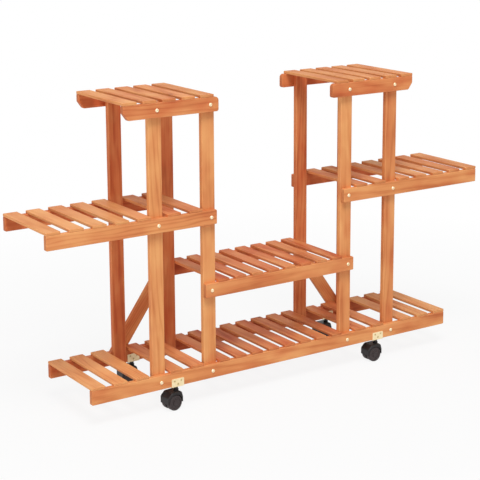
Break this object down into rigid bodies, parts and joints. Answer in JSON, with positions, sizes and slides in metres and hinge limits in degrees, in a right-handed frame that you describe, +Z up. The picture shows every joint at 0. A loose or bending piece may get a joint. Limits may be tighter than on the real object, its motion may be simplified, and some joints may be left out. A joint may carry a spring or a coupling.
{
  "type": "flower cart stand",
  "caption": "Low wooden plant stand with slatted shelves at stepped heights, two towers and a sunk middle, diagonal back braces and twin-wheel swivel casters.",
  "frame": {"origin": "floor level, under the middle of the stand's own box", "axes": "+X along the stand, +Y from the open front to the braced back, +Z up"},
  "size_m": [1.395, 0.2768, 0.8225],
  "materials": {
    "leg_wood": "satin lacquer",
    "rail_wood": "satin lacquer",
    "slat_wood": "satin lacquer",
    "brace_wood": "satin lacquer",
    "bolt_metal": "bright plated",
    "screw_metal": "plated",
    "bracket_metal": "yellow plated",
    "stem_metal": "black",
    "hood_plastic": "satin",
    "wheel_plastic": "satin",
    "axle_metal": "bare"
  },
  "bodies": {
    "stand_frame": {"bolts_back": "bolt_metal", "bolts_brace": "bolt_metal", "bolts_front": "bolt_metal", "brace_left": "brace_wood", "brace_right": "brace_wood", "caster_bracket_back_left": "bracket_metal", "caster_bracket_back_right": "bracket_metal", "caster_bracket_front_left": "bracket_metal", "caster_bracket_front_right": "bracket_metal", "caster_stem_back_left": "stem_metal", "caster_stem_back_right": "stem_metal", "caster_stem_front_left": "stem_metal", "caster_stem_front_right": "stem_metal", "leg_back_inner_left": "leg_wood", "leg_back_inner_right": "leg_wood", "leg_back_outer_left": "leg_wood", "leg_back_outer_right": "leg_wood", "leg_front_inner_left": "leg_wood", "leg_front_inner_right": "leg_wood", "leg_front_outer_left": "leg_wood", "leg_front_outer_right": "leg_wood", "plate_screws_back": "screw_metal", "plate_screws_front": "screw_metal", "rail_back_bottom": "rail_wood", "rail_back_centre": "rail_wood", "rail_back_top_left": "rail_wood", "rail_back_top_right": "rail_wood", "rail_back_wing_left": "rail_wood", "rail_back_wing_right": "rail_wood", "rail_front_bottom": "rail_wood", "rail_front_centre": "rail_wood", "rail_front_top_left": "rail_wood", "rail_front_top_right": "rail_wood", "rail_front_wing_left": "rail_wood", "rail_front_wing_right": "rail_wood", "slats_bottom_bay_left": "slat_wood", "slats_bottom_bay_right": "slat_wood", "slats_bottom_centre": "slat_wood", "slats_bottom_left": "slat_wood", "slats_bottom_right": "slat_wood", "slats_centre": "slat_wood", "slats_top_left": "slat_wood", "slats_top_right": "slat_wood", "slats_wing_bay_left": "slat_wood", "slats_wing_bay_right": "slat_wood", "slats_wing_left": "slat_wood", "slats_wing_right": "slat_wood"},
    "hood_front_left": {"caster_hood_front_left": "hood_plastic"},
    "wheels_front_left": {"caster_wheels_front_left": "wheel_plastic", "caster_axle_front_left": "axle_metal"},
    "hood_front_right": {"caster_hood_front_right": "hood_plastic"},
    "wheels_front_right": {"caster_wheels_front_right": "wheel_plastic", "caster_axle_front_right": "axle_metal"},
    "hood_back_left": {"caster_hood_back_left": "hood_plastic"},
    "wheels_back_left": {"caster_wheels_back_left": "wheel_plastic", "caster_axle_back_left": "axle_metal"},
    "hood_back_right": {"caster_hood_back_right": "hood_plastic"},
    "wheels_back_right": {"caster_wheels_back_right": "wheel_plastic", "caster_axle_back_right": "axle_metal"}
  },
  "joints": [
    {"name": "swivel_front_left", "type": "hinge", "parent": "stand_frame", "child": "hood_front_left", "pos_m": [-0.3345, -0.11611, 0.05], "axis": [0, 0, 1], "continuous": true},
    {"name": "roll_front_left", "type": "hinge", "parent": "hood_front_left", "child": "wheels_front_left", "pos_m": [-0.3484, -0.11782, 0.021], "axis": [-0.1219, 0.9925, 0], "continuous": true},
    {"name": "swivel_front_right", "type": "hinge", "parent": "stand_frame", "child": "hood_front_right", "pos_m": [0.3345, -0.11611, 0.05], "axis": [0, 0, 1], "continuous": true},
    {"name": "roll_front_right", "type": "hinge", "parent": "hood_front_right", "child": "wheels_front_right", "pos_m": [0.3205, -0.11611, 0.021], "axis": [0, 1, 0], "continuous": true},
    {"name": "swivel_back_left", "type": "hinge", "parent": "stand_frame", "child": "hood_back_left", "pos_m": [-0.3345, 0.11989, 0.05], "axis": [0, 0, 1], "continuous": true},
    {"name": "roll_back_left", "type": "hinge", "parent": "hood_back_left", "child": "wheels_back_left", "pos_m": [-0.3485, 0.11989, 0.021], "axis": [0, 1, 0], "continuous": true},
    {"name": "swivel_back_right", "type": "hinge", "parent": "stand_frame", "child": "hood_back_right", "pos_m": [0.3345, 0.11989, 0.05], "axis": [0, 0, 1], "continuous": true},
    {"name": "roll_back_right", "type": "hinge", "parent": "hood_back_right", "child": "wheels_back_right", "pos_m": [0.3205, 0.11989, 0.021], "axis": [0, 1, 0], "continuous": true}
  ]
}
